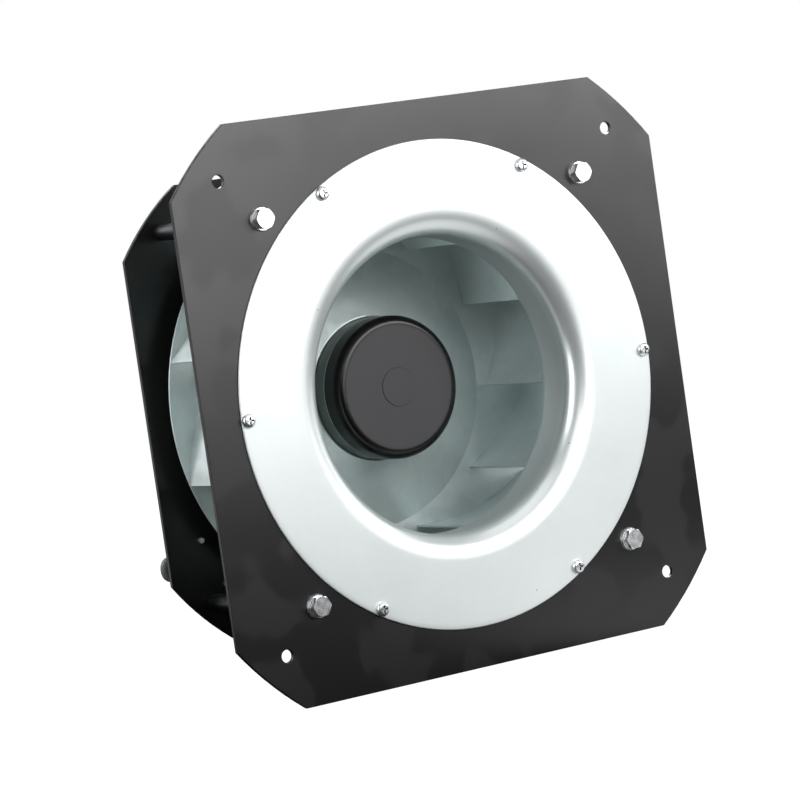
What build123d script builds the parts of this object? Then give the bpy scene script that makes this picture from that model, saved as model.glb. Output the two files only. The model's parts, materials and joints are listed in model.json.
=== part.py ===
from build123d import *
import os
from math import acos, atan2, cos, hypot, pi, radians, sin, tan

# Backward-curved centrifugal fan with an external-rotor motor, in millimetres.
# The fan axis is Y and the air comes in from -Y. Z is up. The origin is on the
# axis, in the front face of the front plate. A depth is a distance behind that face.

os.makedirs("parts", exist_ok=True)

# Inlet ring and its screws
ring_diameter = 343.0
ring_sheet = 1.5
throat_radius = 105.0
throat_end_depth = 38.0
bell_width = 19.0
bell_depth = 13.0
ring_edge_margin = 5.0
ring_screw_circle = ring_diameter - 2 * ring_edge_margin
ring_screw_count = 6
ring_screw = 5.0
ring_screw_hole = 5.5
ring_screw_head = 10.0
ring_screw_head_height = 3.2
ring_screw_length = 12.0
ring_nut_flats = 8.0
ring_nut_height = 4.0

# Flange bolts and columns between the plates, just outside the ring
column_bolt = 8.0
column_bolt_hole = 9.0
column_bolt_length = 20.0
bolt_flange = 17.0
bolt_flange_height = 1.8
bolt_flats = 13.0
bolt_head_height = 6.6
bolt_head_chamfer = 0.8
ring_bolt_gap = 8.1
column_circle = ring_diameter + bolt_flange + 2 * ring_bolt_gap
column_spacing = column_circle * sin(radians(45))
column_diameter = 12.0
column_tap_depth = 22.0

# Front plate
front_side = 400.0
front_sheet = 3.0
corner_hole_spacing = 324.0
corner_hole = 9.0
corner_hole_margin = 22.4
front_corner_radius = corner_hole_spacing * sin(radians(45)) + corner_hole_margin
bore_screw_margin = 16.5
front_bore = ring_screw_circle - 2 * bore_screw_margin
plate_edge_round = 0.4

# Rear plate
rear_side_margin = 32.5
rear_side = column_spacing + 2 * rear_side_margin
rear_sheet = 3.0
rear_corner_margin = 14.3
rear_corner_radius = column_circle / 2 + rear_corner_margin
rear_plate_depth = 142.0

# Clearances
thread_gap = 0.05
fit_gap = 0.02
seat_gap = 0.2
slot_gap = 0.15

# Impeller
disc_radius = 156.4
disc_sheet = 1.5
disc_depth = 123.5
crease_radius = 103.0
crease_round = 8.0
dish_front_depth = 99.0
dish_lip_round = 1.2
collar_rear_depth = 113.0
shroud_neck_gap = 2.3
shroud_sheet = 1.5
shroud_front_depth = 33.0
shroud_rim_depth = 68.0
shroud_slope = 15.0
shroud_round = 20.0
blade_count = 11
blade_first_angle = -7.2
blade_sheet = 1.5
blade_inner_radius = 112.0
blade_outer_radius = 155.5
blade_sweep = 41.0
blade_bulge = 9.0
tab_starts = (0.08, 0.62)
tab_length = 13.0
tab_stand = 0.6
rivet_count = 6
rivet_depth = 107.0
rivet_diameter = 4.0
rivet_head = 7.0
rivet_head_height = 1.4

# Rotor
cap_radius = 51.5
cap_front_depth = 68.5
cap_shoulder = 6.4
cap_wall = 2.0
cap_edge_depth = 86.8
cap_boss_radius = 14.0
cap_boss_height = 0.5
cup_band_radius = 51.4
cup_front_wall = 3.0
cup_inner_radius = 46.3
cup_rear_depth = 122.0
cup_boss_radius = 12.0
cup_boss_gap = 2.0
magnet_count = 8
magnet_thickness = 3.2
magnet_front_depth = 84.0
magnet_rear_depth = 120.0
magnet_split = 1.0

# Shaft and bearings
shaft_radius = 6.0
shaft_front_depth = 72.0
shaft_rear_depth = 131.0
bearing_outer_radius = 16.0
bearing_width = 10.0
bearing_inset = 1.0
rear_bearing_depth = 117.0
inner_race_radius = 9.0
outer_race_bore_radius = 13.0
ball_circle_radius = 11.0
ball_radius = 2.75
ball_count = 7
groove_gap = 0.2
cage_inner_radius = 10.3
cage_outer_radius = 11.7
cage_width = 7.4
cage_pocket_gap = 0.12
preload_thickness = 1.0
circlip_thickness = 1.0
circlip_radius = 8.4
circlip_mouth = 4.0
circlip_groove_depth = 0.4

# Motor flange with its bearing tube and electronics housing
tube_front_depth = 85.0
tube_radius = 20.0
tube_rear_depth = 133.0
tube_shoulder_radius = 13.8
housing_front_depth = 126.0
housing_front_wall = 4.0
housing_radius = 50.0
housing_wall = 3.5
housing_stand = 15.0
housing_hole_gap = 0.5
motor_screw_margin = 7.0
motor_screw_circle = 2 * (housing_radius + motor_screw_margin)
flange_edge_margin = 7.0
flange_radius = motor_screw_circle / 2 + flange_edge_margin
flange_thickness = 5.0
motor_screw_count = 4
motor_screw = 5.0
motor_screw_hole = 5.5
motor_screw_head = 9.5
motor_screw_head_height = 3.2
motor_screw_length = 7.4
cover_post_inset = 8.0
cover_post_circle = 2 * (housing_radius - cover_post_inset)
cover_post_radius = 4.2
cover_post_count = 4
cover_screw = 4.0
cover_screw_head = 7.6
cover_screw_head_height = 2.6
cover_screw_length = 12.0

# Electronics
board_gap = 0.8
board_radius = cover_post_circle / 2 - cover_post_radius - board_gap
board_bore_radius = 21.5
board_thickness = 1.6
board_post_height = 10.0
board_post_inset = 6.0
board_post_circle = 2 * (board_radius - board_post_inset)
board_post_radius = 3.4
board_post_count = 3
board_screw = 2.5
board_screw_head = 4.8
board_screw_head_height = 1.8
board_screw_length = 6.0
capacitor_radius = 5.0
capacitor_height = 14.0
chip_side = 9.0
chip_height = 2.2
component_inset = 8.0
component_circle = 2 * (board_radius - component_inset)
gasket_thickness = 0.6
cover_thickness = 3.0
fin_count = 7
fin_pitch = 10.0
fin_thickness = 2.2
fin_height = 6.0
fin_post_margin = 6.0
fin_field_radius = cover_post_circle / 2 - fin_post_margin

# Stator
stack_front_depth = 88.0
stack_rear_depth = 116.0
slot_count = 12
yoke_radius = 26.5
tooth_width = 5.5
tooth_tip_radius = 42.4
shoe_thickness = 2.6
shoe_mouth = 3.0
insulator_thickness = 0.4
coil_inner_radius = 28.0
coil_outer_radius = 38.8
coil_width = 10.8
coil_overhang = 4.5
coil_window_gap = 0.3

# Lead, gland, clips and connector on the back of the rear plate
lead_diameter = 6.5
lead_stand = 7.0
lead_start_inset = 5.0
lead_start_radius = housing_radius - lead_start_inset
lead_straight = 16.0
lead_gap = 0.05
gland_angle = 225.0
gland_radius = 6.0
gland_flats = 12.6
gland_hex_length = 5.0
gland_cap_radius = 6.0
gland_cap_length = 11.0
gland_cap_round = 2.2
locknut_flats = 15.0
locknut_thickness = 1.2
locknut_gap = 1.0
fold_radius = 6.3
fold_half = 6.4
fold_middle_z = -104.7
fold_tip_x = -164.3
clip_strap = 1.3
clip_width = 9.0
clip_foot = 12.0
clip_gap = 0.1
clip_screw = 4.0
clip_screw_hole = 4.3
clip_screw_head = 7.4
clip_screw_head_height = 2.6
clip_screw_length = 7.0
connector_length = 26.0
connector_height = 15.0
connector_thickness = 10.0
connector_wall = 1.4
connector_cavity = 17.0
connector_ways = 4
connector_pitch = 3.0
pin_length = 12.0
pin_width = 1.4


def facing_inlet(depth, turn=0.0):
    """Plane across the axis at a depth, normal towards the inlet, X right and Z up before it is turned."""
    right = (cos(radians(turn)), 0, sin(radians(turn)))
    return Plane(origin=(0, depth, 0), x_dir=right, z_dir=(0, -1, 0))


def facing_rear(depth):
    """Plane across the axis at a depth, with X right, Z down and its normal to the rear."""
    return Plane(origin=(0, depth, 0), x_dir=(1, 0, 0), z_dir=(0, 1, 0))


def facing_out(angle, radius, depth):
    """Plane at a radius and depth whose normal points away from the axis at an angle."""
    away = (cos(radians(angle)), 0, sin(radians(angle)))
    return Plane(origin=(radius * away[0], depth, radius * away[2]), x_dir=(0, 1, 0), z_dir=away)


def grid_points(spacing):
    """Four points at the corners of a square."""
    half = spacing / 2
    return [(x * half, z * half) for x in (-1, 1) for z in (-1, 1)]


def circle_points(diameter, count, first_angle=0.0):
    """Points evenly spaced on a circle."""
    angles = [radians(first_angle + 360 * index / count) for index in range(count)]
    return [(diameter / 2 * cos(angle), diameter / 2 * sin(angle)) for angle in angles]


def turned_over(points):
    """The same places for a plane that faces the rear, where Z runs down."""
    return [(x, -z) for x, z in points]


def write(part, name):
    """Label one piece and write it to its own file."""
    part.label = name
    export_step(part, f"parts/{name}.step")


def write_copies(name, piece, plane, points):
    """Place copies of a small piece on a plane and write them as one group."""
    with BuildPart(plane) as group:
        with Locations(*points):
            add(piece)
    write(group.part, name)


def pan_screw(diameter, head, head_height, length):
    """Cross-recess pan-head screw with its seat at z = 0 and its head up."""
    recess_length = head * 0.55
    recess_width = head * 0.12
    with BuildPart() as screw:
        with BuildSketch(Plane.XY):
            Circle(head / 2)
        extrude(amount=head_height)
        fillet(screw.edges().group_by(Axis.Z)[-1], head_height * 0.75)
        with BuildSketch(Plane.XY):
            Circle(diameter / 2 - thread_gap)
        extrude(amount=-length)
        with BuildSketch(Plane.XY.offset(head_height)):
            Rectangle(recess_length, recess_width)
            Rectangle(recess_width, recess_length)
        extrude(amount=-head_height / 2, mode=Mode.SUBTRACT)
    return screw.part


def flange_bolt(diameter, length):
    """Hex flange bolt with its seat at z = 0 and its head up."""
    corner = bolt_flats / 2 / cos(pi / 6)
    with BuildPart() as bolt:
        with BuildSketch(Plane.XY):
            RegularPolygon(bolt_flats / 2, 6, major_radius=False)
        extrude(amount=bolt_head_height)
        with BuildSketch(Plane.XZ):
            with BuildLine():
                Polyline(
                    (0, 0),
                    (corner, 0),
                    (corner, bolt_head_height - bolt_head_chamfer / 2),
                    (corner - bolt_head_chamfer, bolt_head_height),
                    (0, bolt_head_height),
                    close=True,
                )
            make_face()
        revolve(axis=Axis.Z, mode=Mode.INTERSECT)
        with BuildSketch(Plane.XY):
            Circle(bolt_flange / 2)
        extrude(amount=bolt_flange_height, taper=20)
        with BuildSketch(Plane.XY):
            Circle(diameter / 2 - thread_gap)
        extrude(amount=-length)
    return bolt.part


# Front plate
column_points = grid_points(column_spacing)
ring_screw_points = circle_points(ring_screw_circle, ring_screw_count)
with BuildPart() as front_plate:
    with BuildSketch(facing_inlet(0)):
        Rectangle(front_side, front_side)
        Circle(front_corner_radius, mode=Mode.INTERSECT)
        Circle(front_bore / 2, mode=Mode.SUBTRACT)
        with Locations(*grid_points(corner_hole_spacing)):
            Circle(corner_hole / 2, mode=Mode.SUBTRACT)
        with Locations(*column_points):
            Circle(column_bolt_hole / 2, mode=Mode.SUBTRACT)
        with Locations(*ring_screw_points):
            Circle(ring_screw_hole / 2, mode=Mode.SUBTRACT)
    extrude(amount=-front_sheet)
    fillet(front_plate.edges().group_by(Axis.Y)[0], plate_edge_round)
write(front_plate.part, "front_plate")

# Inlet ring: a flat flange that rolls along a quarter of an ellipse into the straight throat
bell_start = throat_radius + bell_width
bell_centre = (bell_start, bell_depth)
ring_radius = ring_diameter / 2
with BuildPart() as inlet_ring:
    with BuildSketch(Plane.XY):
        with BuildLine():
            Line((ring_radius, -ring_sheet), (bell_start, -ring_sheet))
            EllipticalCenterArc(bell_centre, bell_width, bell_depth + ring_sheet, 180, arc_size=90)
            Line((throat_radius, bell_depth), (throat_radius, throat_end_depth))
            Line((throat_radius, throat_end_depth), (throat_radius + ring_sheet, throat_end_depth))
            Line((throat_radius + ring_sheet, throat_end_depth), (throat_radius + ring_sheet, bell_depth))
            EllipticalCenterArc(bell_centre, bell_width - ring_sheet, bell_depth, 180, arc_size=90)
            Line((bell_start, 0), (ring_radius, 0))
            Line((ring_radius, 0), (ring_radius, -ring_sheet))
        make_face()
    revolve(axis=Axis.Y)
    with BuildSketch(facing_inlet(-ring_sheet)):
        with Locations(*ring_screw_points):
            Circle(ring_screw_hole / 2)
    extrude(amount=-ring_sheet, mode=Mode.SUBTRACT)
write(inlet_ring.part, "inlet_ring")

# Screws and nuts of the inlet ring
ring_screw_piece = pan_screw(ring_screw, ring_screw_head, ring_screw_head_height, ring_screw_length)
write_copies("inlet_ring_screws", ring_screw_piece, facing_inlet(-ring_sheet), ring_screw_points)
with BuildPart() as ring_nuts:
    with BuildSketch(facing_inlet(front_sheet)):
        with Locations(*ring_screw_points):
            RegularPolygon(ring_nut_flats / 2, 6, major_radius=False)
            Circle(ring_screw / 2, mode=Mode.SUBTRACT)
    extrude(amount=-ring_nut_height)
write(ring_nuts.part, "inlet_ring_nuts")

# Columns, tapped at both ends
column_names = ("bottom_left", "top_left", "bottom_right", "top_right")
for column_name, column_point in zip(column_names, column_points):
    with BuildPart() as column:
        with BuildSketch(facing_inlet(front_sheet)):
            with Locations(column_point):
                Circle(column_diameter / 2)
        extrude(amount=front_sheet - rear_plate_depth)
        for tap_depth in (front_sheet, rear_plate_depth - column_tap_depth):
            with BuildSketch(facing_inlet(tap_depth)):
                with Locations(column_point):
                    Circle(column_bolt / 2)
            extrude(amount=-column_tap_depth, mode=Mode.SUBTRACT)
    write(column.part, f"spacer_column_{column_name}")

# Flange bolts through each plate into the columns
bolt_piece = flange_bolt(column_bolt, column_bolt_length)
rear_face_depth = rear_plate_depth + rear_sheet
lead_depth = rear_face_depth + lead_stand
housing_rear_depth = rear_face_depth + housing_stand
write_copies("front_column_bolts", bolt_piece, facing_inlet(0), column_points)
write_copies("rear_column_bolts", bolt_piece, facing_rear(rear_face_depth), column_points)

# Route of the lead: out of the gland, left to a tight fold at the plate's edge, and back to the connector
gland_tip_radius = housing_radius + gland_hex_length + gland_cap_length
gland_way = (cos(radians(gland_angle)), sin(radians(gland_angle)))
lead_first = (lead_start_radius * gland_way[0], lead_start_radius * gland_way[1])
lead_second_radius = gland_tip_radius + lead_straight
lead_second = (lead_second_radius * gland_way[0], lead_second_radius * gland_way[1])
fold_top_z = fold_middle_z + fold_half
fold_bottom_z = fold_middle_z - fold_half
lead_end_z = -122.0
lead_end_x = -26.0
lead_points = [
    lead_first,
    lead_second,
    (-84.0, -87.0),
    (-112.0, fold_top_z),
    (fold_tip_x, fold_top_z),
    (fold_tip_x, fold_bottom_z),
    (-104.0, fold_bottom_z),
    (-66.0, lead_end_z),
    (lead_end_x, lead_end_z),
]


def corner_radius(before, corner, after):
    """Radius of the arc at a corner, as large as its two runs allow."""
    first = (corner[0] - before[0], corner[1] - before[1])
    second = (after[0] - corner[0], after[1] - corner[1])
    shorter = min(hypot(*first), hypot(*second))
    turn = acos((first[0] * second[0] + first[1] * second[1]) / hypot(*first) / hypot(*second))
    return 0.45 * shorter / tan(turn / 2)


lead_radii = []
for before, corner, after in zip(lead_points, lead_points[1:], lead_points[2:]):
    at_fold = corner[0] == fold_tip_x
    lead_radii.append(fold_radius if at_fold else corner_radius(before, corner, after))
print("lead arc radii", [round(radius, 1) for radius in lead_radii])

with BuildPart() as motor_lead:
    with BuildLine():
        lead_path = FilletPolyline(*[(x, lead_depth, z) for x, z in lead_points], radius=lead_radii)
    with BuildSketch(facing_out(gland_angle, lead_start_radius, lead_depth)):
        Circle(lead_diameter / 2)
    sweep(path=lead_path)
print("lead length", round(lead_path.length, 1))
print("lead volume over section", round(motor_lead.part.volume / (pi * lead_diameter**2 / 4), 1))
write(motor_lead.part, "motor_lead")

# Clips over the lead: where each one stands, and on which side of the lead its foot lies
clip_places = [(-138.0, fold_top_z, 1), (-122.0, fold_bottom_z, -1), (-42.0, lead_end_z, -1)]
clip_bore_radius = lead_diameter / 2 + clip_gap
clip_outer_radius = clip_bore_radius + clip_strap
clip_screw_points = [
    (x, z + side * (clip_outer_radius + clip_foot / 2)) for x, z, side in clip_places
]
with BuildPart() as lead_clips:
    for x, z, side in clip_places:
        with BuildSketch(Plane.YZ.offset(x - clip_width / 2)):
            with Locations((lead_depth, z)):
                Circle(clip_outer_radius)
            with Locations((rear_face_depth, z + side * clip_bore_radius)):
                wall_align = Align.MIN if side > 0 else Align.MAX
                Rectangle(lead_depth - rear_face_depth, clip_strap, align=(Align.MIN, wall_align))
                Rectangle(clip_strap, clip_strap + clip_foot, align=(Align.MIN, wall_align))
            with Locations((lead_depth, z)):
                Circle(clip_bore_radius, mode=Mode.SUBTRACT)
        extrude(amount=clip_width)
    with BuildSketch(facing_rear(rear_face_depth)):
        with Locations(*turned_over(clip_screw_points)):
            Circle(clip_screw_hole / 2)
    extrude(amount=clip_strap, mode=Mode.SUBTRACT)
write(lead_clips.part, "lead_clips")
clip_screw_piece = pan_screw(clip_screw, clip_screw_head, clip_screw_head_height, clip_screw_length)
clip_seat = facing_rear(rear_face_depth + clip_strap)
write_copies("lead_clip_screws", clip_screw_piece, clip_seat, turned_over(clip_screw_points))

# Rear plate
housing_hole_radius = housing_radius + housing_hole_gap
motor_screw_points = circle_points(motor_screw_circle, motor_screw_count)
with BuildPart() as rear_plate:
    with BuildSketch(facing_inlet(rear_plate_depth)):
        Rectangle(rear_side, rear_side)
        Circle(rear_corner_radius, mode=Mode.INTERSECT)
        Circle(housing_hole_radius, mode=Mode.SUBTRACT)
        with Locations(*column_points):
            Circle(column_bolt_hole / 2, mode=Mode.SUBTRACT)
        with Locations(*motor_screw_points):
            Circle(motor_screw_hole / 2, mode=Mode.SUBTRACT)
        with Locations(*clip_screw_points):
            Circle(clip_screw / 2, mode=Mode.SUBTRACT)
    extrude(amount=-rear_sheet)
    fillet(rear_plate.edges().group_by(Axis.Y)[0], plate_edge_round)
write(rear_plate.part, "rear_plate")

# Motor flange: bearing tube, housing for the electronics and the flange that seats on the rear plate
cover_post_points = circle_points(cover_post_circle, cover_post_count)
board_post_points = circle_points(board_post_circle, board_post_count, 90)
housing_inner_radius = housing_radius - housing_wall
housing_floor_depth = housing_front_depth + housing_front_wall
bearing_seat_radius = bearing_outer_radius + fit_gap
front_bearing_depth = tube_front_depth + bearing_inset
front_shoulder_depth = front_bearing_depth + bearing_width + preload_thickness
board_depth = housing_floor_depth + board_post_height
with BuildPart() as motor_flange:
    with BuildSketch(Plane.XY):
        with BuildLine():
            Polyline(
                (bearing_seat_radius, tube_front_depth),
                (tube_radius, tube_front_depth),
                (tube_radius, housing_front_depth),
                (housing_radius, housing_front_depth),
                (housing_radius, rear_plate_depth - flange_thickness),
                (flange_radius, rear_plate_depth - flange_thickness),
                (flange_radius, rear_plate_depth),
                (housing_radius, rear_plate_depth),
                (housing_radius, housing_rear_depth),
                (housing_inner_radius, housing_rear_depth),
                (housing_inner_radius, housing_floor_depth),
                (tube_radius, housing_floor_depth),
                (tube_radius, tube_rear_depth),
                (bearing_seat_radius, tube_rear_depth),
                (bearing_seat_radius, rear_bearing_depth),
                (tube_shoulder_radius, rear_bearing_depth),
                (tube_shoulder_radius, front_shoulder_depth),
                (bearing_seat_radius, front_shoulder_depth),
                close=True,
            )
        make_face()
    revolve(axis=Axis.Y)
    with BuildSketch(facing_inlet(housing_floor_depth)):
        with Locations(*cover_post_points):
            Circle(cover_post_radius)
    extrude(amount=housing_floor_depth - housing_rear_depth)
    with BuildSketch(facing_inlet(housing_floor_depth)):
        with Locations(*board_post_points):
            Circle(board_post_radius)
    extrude(amount=-board_post_height)
    with BuildSketch(facing_inlet(housing_rear_depth)):
        with Locations(*cover_post_points):
            Circle(cover_screw / 2)
    extrude(amount=cover_screw_length, mode=Mode.SUBTRACT)
    with BuildSketch(facing_inlet(board_depth)):
        with Locations(*board_post_points):
            Circle(board_screw / 2)
    extrude(amount=board_screw_length, mode=Mode.SUBTRACT)
    with BuildSketch(facing_inlet(rear_plate_depth)):
        with Locations(*motor_screw_points):
            Circle(motor_screw / 2)
    extrude(amount=flange_thickness, mode=Mode.SUBTRACT)
    with BuildSketch(facing_out(gland_angle, housing_inner_radius - housing_wall, lead_depth)):
        Circle(gland_radius + thread_gap)
    extrude(amount=housing_wall * 3, mode=Mode.SUBTRACT)
write(motor_flange.part, "motor_flange")

# Motor screws from behind the rear plate
motor_screw_piece = pan_screw(motor_screw, motor_screw_head, motor_screw_head_height, motor_screw_length)
motor_screw_seat = facing_rear(rear_face_depth)
write_copies("motor_screws", motor_screw_piece, motor_screw_seat, turned_over(motor_screw_points))

# Cable gland, its cap and the locknut inside the housing
with BuildPart() as cable_gland:
    gland_thread_start = lead_start_radius - locknut_thickness - locknut_gap
    with BuildSketch(facing_out(gland_angle, gland_thread_start, lead_depth)):
        Circle(gland_radius)
    extrude(amount=housing_radius - gland_thread_start + fit_gap)
    with BuildSketch(facing_out(gland_angle, housing_radius + fit_gap, lead_depth)):
        RegularPolygon(gland_flats / 2, 6, major_radius=False, rotation=30)
    extrude(amount=gland_hex_length - fit_gap)
    with BuildSketch(facing_out(gland_angle, gland_thread_start, lead_depth)):
        Circle(lead_diameter / 2 + lead_gap)
    extrude(amount=gland_tip_radius - gland_thread_start, mode=Mode.SUBTRACT)
write(cable_gland.part, "cable_gland")

with BuildPart() as gland_cap:
    with BuildSketch(facing_out(gland_angle, housing_radius + gland_hex_length, lead_depth)):
        Circle(gland_cap_radius)
    extrude(amount=gland_cap_length)
    gland_tip = facing_out(gland_angle, gland_tip_radius, lead_depth).origin
    cap_rims = gland_cap.edges().filter_by(GeomType.CIRCLE)
    fillet(cap_rims.sort_by_distance(gland_tip)[0], gland_cap_round)
    with BuildSketch(facing_out(gland_angle, housing_radius + gland_hex_length, lead_depth)):
        Circle(lead_diameter / 2 + lead_gap)
    extrude(amount=gland_cap_length, mode=Mode.SUBTRACT)
write(gland_cap.part, "gland_cap")

with BuildPart() as gland_locknut:
    with BuildSketch(facing_out(gland_angle, lead_start_radius - locknut_gap, lead_depth)):
        RegularPolygon(locknut_flats / 2, 6, major_radius=False)
        Circle(gland_radius + thread_gap, mode=Mode.SUBTRACT)
    extrude(amount=locknut_thickness)
write(gland_locknut.part, "gland_locknut")

# Lead connector: an open plug body with its pins
connector_start = Plane.YZ.offset(lead_end_x)
connector_mouth = lead_end_x + connector_length
connector_centre = (lead_depth, lead_end_z)
with BuildPart() as lead_connector:
    with BuildSketch(connector_start):
        with Locations(connector_centre):
            Rectangle(connector_thickness, connector_height)
    extrude(amount=connector_length)
    fillet(lead_connector.edges().filter_by(Axis.X), connector_wall / 2)
    with BuildSketch(Plane.YZ.offset(connector_mouth - connector_cavity)):
        with Locations(connector_centre):
            Rectangle(connector_thickness - 2 * connector_wall, connector_height - 2 * connector_wall)
    extrude(amount=connector_cavity, mode=Mode.SUBTRACT)
write(lead_connector.part, "lead_connector")

with BuildPart() as connector_pins:
    with BuildSketch(Plane.YZ.offset(connector_mouth - connector_cavity)):
        with Locations(connector_centre):
            with GridLocations(1, connector_pitch, 1, connector_ways):
                Rectangle(pin_width, pin_width)
    extrude(amount=pin_length)
write(connector_pins.part, "connector_pins")

# Circuit board on its posts, with its components and screws
board_rear_depth = board_depth + board_thickness
with BuildPart() as circuit_board:
    with BuildSketch(facing_inlet(board_depth)):
        Circle(board_radius)
        Circle(board_bore_radius, mode=Mode.SUBTRACT)
        with Locations(*board_post_points):
            Circle(board_screw / 2 + slot_gap, mode=Mode.SUBTRACT)
    extrude(amount=-board_thickness)
write(circuit_board.part, "circuit_board")

board_screw_piece = pan_screw(board_screw, board_screw_head, board_screw_head_height, board_screw_length)
board_screw_seat = facing_rear(board_rear_depth)
write_copies("board_screws", board_screw_piece, board_screw_seat, turned_over(board_post_points))

with BuildPart() as board_components:
    with BuildSketch(facing_inlet(board_rear_depth)):
        with Locations(*circle_points(component_circle, 3, 30)):
            Circle(capacitor_radius)
    extrude(amount=-capacitor_height)
    with BuildSketch(facing_inlet(board_rear_depth)):
        with Locations(*circle_points(component_circle, 4, 15)):
            Rectangle(chip_side / 2, chip_side / 2)
        with Locations(*circle_points(component_circle, 3, 60)):
            Rectangle(chip_side, chip_side)
    extrude(amount=-chip_height)
write(board_components.part, "board_components")

# Gasket and finned cover that close the housing
cover_front_depth = housing_rear_depth + gasket_thickness
with BuildPart() as cover_gasket:
    with BuildSketch(facing_inlet(housing_rear_depth)):
        Circle(housing_radius)
        Circle(housing_inner_radius, mode=Mode.SUBTRACT)
    extrude(amount=-gasket_thickness)
write(cover_gasket.part, "cover_gasket")

cover_rear_depth = cover_front_depth + cover_thickness
with BuildPart() as electronics_cover:
    with BuildSketch(facing_inlet(cover_front_depth)):
        Circle(housing_radius)
    extrude(amount=-cover_thickness)
    with BuildSketch(facing_inlet(cover_rear_depth)):
        with GridLocations(fin_pitch, 1, fin_count, 1):
            Rectangle(fin_thickness, 2 * fin_field_radius)
        Circle(fin_field_radius, mode=Mode.INTERSECT)
    extrude(amount=-fin_height)
    with BuildSketch(facing_inlet(cover_front_depth)):
        with Locations(*cover_post_points):
            Circle(cover_screw / 2 + slot_gap)
    extrude(amount=-cover_thickness, mode=Mode.SUBTRACT)
write(electronics_cover.part, "electronics_cover")
cover_screw_piece = pan_screw(cover_screw, cover_screw_head, cover_screw_head_height, cover_screw_length)
cover_screw_seat = facing_rear(cover_rear_depth)
write_copies("cover_screws", cover_screw_piece, cover_screw_seat, turned_over(cover_post_points))

# Stator core, insulators and windings
stack_length = stack_rear_depth - stack_front_depth
tooth_start = yoke_radius - yoke_radius / 10


def stator_star(outer_radius):
    """Yoke ring with straight teeth, for the sketch that is open."""
    Circle(yoke_radius)
    with PolarLocations(tooth_start, slot_count):
        Rectangle(outer_radius - tooth_start, tooth_width, align=(Align.MIN, Align.CENTER))
    Circle(tube_radius + thread_gap, mode=Mode.SUBTRACT)


with BuildPart() as stator_core:
    with BuildSketch(facing_inlet(stack_front_depth)):
        Circle(tooth_tip_radius)
        Circle(tooth_tip_radius - shoe_thickness, mode=Mode.SUBTRACT)
        with PolarLocations(tooth_tip_radius - shoe_thickness, slot_count, 180 / slot_count):
            Rectangle(4 * shoe_thickness, shoe_mouth, mode=Mode.SUBTRACT)
        stator_star(tooth_tip_radius - shoe_thickness / 2)
    extrude(amount=-stack_length)
write(stator_core.part, "stator_core")

with BuildPart() as stator_insulators:
    for insulator_depth in (stack_front_depth - insulator_thickness, stack_rear_depth):
        with BuildSketch(facing_inlet(insulator_depth)):
            stator_star(coil_outer_radius)
        extrude(amount=-insulator_thickness)
write(stator_insulators.part, "stator_insulators")

coil_length = coil_outer_radius - coil_inner_radius
window_gap = insulator_thickness + coil_window_gap
with BuildPart() as stator_windings:
    with BuildSketch(facing_inlet(stack_front_depth - coil_overhang)):
        with PolarLocations(coil_inner_radius, slot_count):
            Rectangle(coil_length, coil_width, align=(Align.MIN, Align.CENTER))
    extrude(amount=-(stack_length + 2 * coil_overhang))
    with BuildSketch(facing_inlet(stack_front_depth - window_gap)):
        with PolarLocations(coil_inner_radius, slot_count):
            Rectangle(coil_length, tooth_width + 2 * coil_window_gap, align=(Align.MIN, Align.CENTER))
    extrude(amount=-(stack_length + 2 * window_gap), mode=Mode.SUBTRACT)
write(stator_windings.part, "stator_windings")

# Shaft with the groove for its circlip
circlip_depth = rear_bearing_depth + bearing_width + fit_gap
groove_radius = shaft_radius - circlip_groove_depth
with BuildPart() as motor_shaft:
    with BuildSketch(facing_inlet(shaft_front_depth)):
        Circle(shaft_radius)
    extrude(amount=shaft_front_depth - shaft_rear_depth)
    with BuildSketch(facing_inlet(circlip_depth)):
        Circle(shaft_radius)
        Circle(groove_radius, mode=Mode.SUBTRACT)
    extrude(amount=-(circlip_thickness + fit_gap), mode=Mode.SUBTRACT)
write(motor_shaft.part, "motor_shaft")

with BuildPart() as shaft_circlip:
    with BuildSketch(facing_inlet(circlip_depth)):
        Circle(circlip_radius)
        Circle(groove_radius + thread_gap, mode=Mode.SUBTRACT)
        Rectangle(circlip_mouth, circlip_radius, align=(Align.CENTER, Align.MIN), mode=Mode.SUBTRACT)
    extrude(amount=-circlip_thickness)
write(shaft_circlip.part, "shaft_circlip")

with BuildPart() as preload_washer:
    with BuildSketch(facing_inlet(front_bearing_depth + bearing_width)):
        Circle(bearing_outer_radius)
        Circle(tube_shoulder_radius, mode=Mode.SUBTRACT)
    extrude(amount=-preload_thickness)
write(preload_washer.part, "preload_washer")


def race(inner_radius, outer_radius, middle_depth):
    """Bearing race with the groove that its balls run in."""
    with BuildPart() as ring:
        with BuildSketch(Plane.XY):
            with Locations(((inner_radius + outer_radius) / 2, middle_depth)):
                Rectangle(outer_radius - inner_radius, bearing_width)
            with Locations((ball_circle_radius, middle_depth)):
                Circle(ball_radius + groove_gap, mode=Mode.SUBTRACT)
        revolve(axis=Axis.Y)
    return ring.part


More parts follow.
